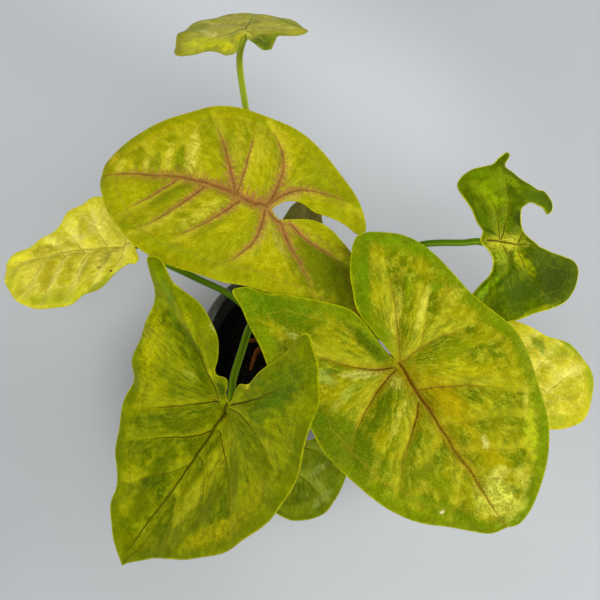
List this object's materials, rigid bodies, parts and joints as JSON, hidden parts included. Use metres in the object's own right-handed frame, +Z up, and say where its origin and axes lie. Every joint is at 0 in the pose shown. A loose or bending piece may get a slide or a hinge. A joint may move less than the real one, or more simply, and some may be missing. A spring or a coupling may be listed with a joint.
{
  "type": "potted arrowhead plant",
  "caption": "Potted arrowhead plant: broad mottled arrowhead leaves on arching stalks, rising from dark soil in a small round tapered pot.",
  "frame": {"origin": "centre of the pot's flat foot, on the surface it stands on", "axes": "+Z up out of the pot; the smallest upright leaf leans back towards +Y and the two largest front leaves towards -Y"},
  "size_m": [0.3501, 0.3219, 0.1904],
  "materials": {
    "pot": "satin smoky grey moulded plastic",
    "soil": "loose dark peaty potting mix",
    "crown_stem": "short corky plant stem",
    "dry_leaf_base": "dry papery leaf base",
    "stalk_olive": "smooth olive leaf stalk",
    "stalk_green": "smooth green leaf stalk",
    "stalk_pale": "smooth yellow-green leaf stalk",
    "leaf_yellow_pink_veined": "satin leaf, mustard yellow with pink-brown veins",
    "leaf_yellow_mottled": "glossy leaf, yellow and green mottling",
    "leaf_green_mottled": "glossy leaf, green with yellow mottling",
    "leaf_olive_top": "satin leaf, olive yellow",
    "leaf_pale_yellow": "satin leaf, pale yellow",
    "leaf_dark_green": "satin leaf, dark green",
    "leaf_olive_brown": "satin leaf, olive brown"
  },
  "bodies": {
    "root": {"pot": "pot", "soil": "soil", "crown_stem": "crown_stem", "dry_leaf_base_front": "dry_leaf_base", "dry_leaf_base_back": "dry_leaf_base", "stalk_upper_left": "stalk_olive", "stalk_right": "stalk_green", "stalk_lower_left": "stalk_green", "stalk_top": "stalk_pale", "stalk_far_left": "stalk_green", "stalk_far_right": "stalk_green", "stalk_lower_right": "stalk_pale", "stalk_lower_front": "stalk_green", "stalk_low_back": "stalk_olive", "blade_upper_left": "leaf_yellow_pink_veined", "blade_right": "leaf_yellow_mottled", "blade_lower_left": "leaf_green_mottled", "blade_top": "leaf_olive_top", "blade_far_left": "leaf_pale_yellow", "blade_far_right": "leaf_dark_green", "blade_lower_right": "leaf_pale_yellow", "blade_lower_front": "leaf_dark_green", "blade_low_back": "leaf_olive_brown"}
  },
  "joints": []
}
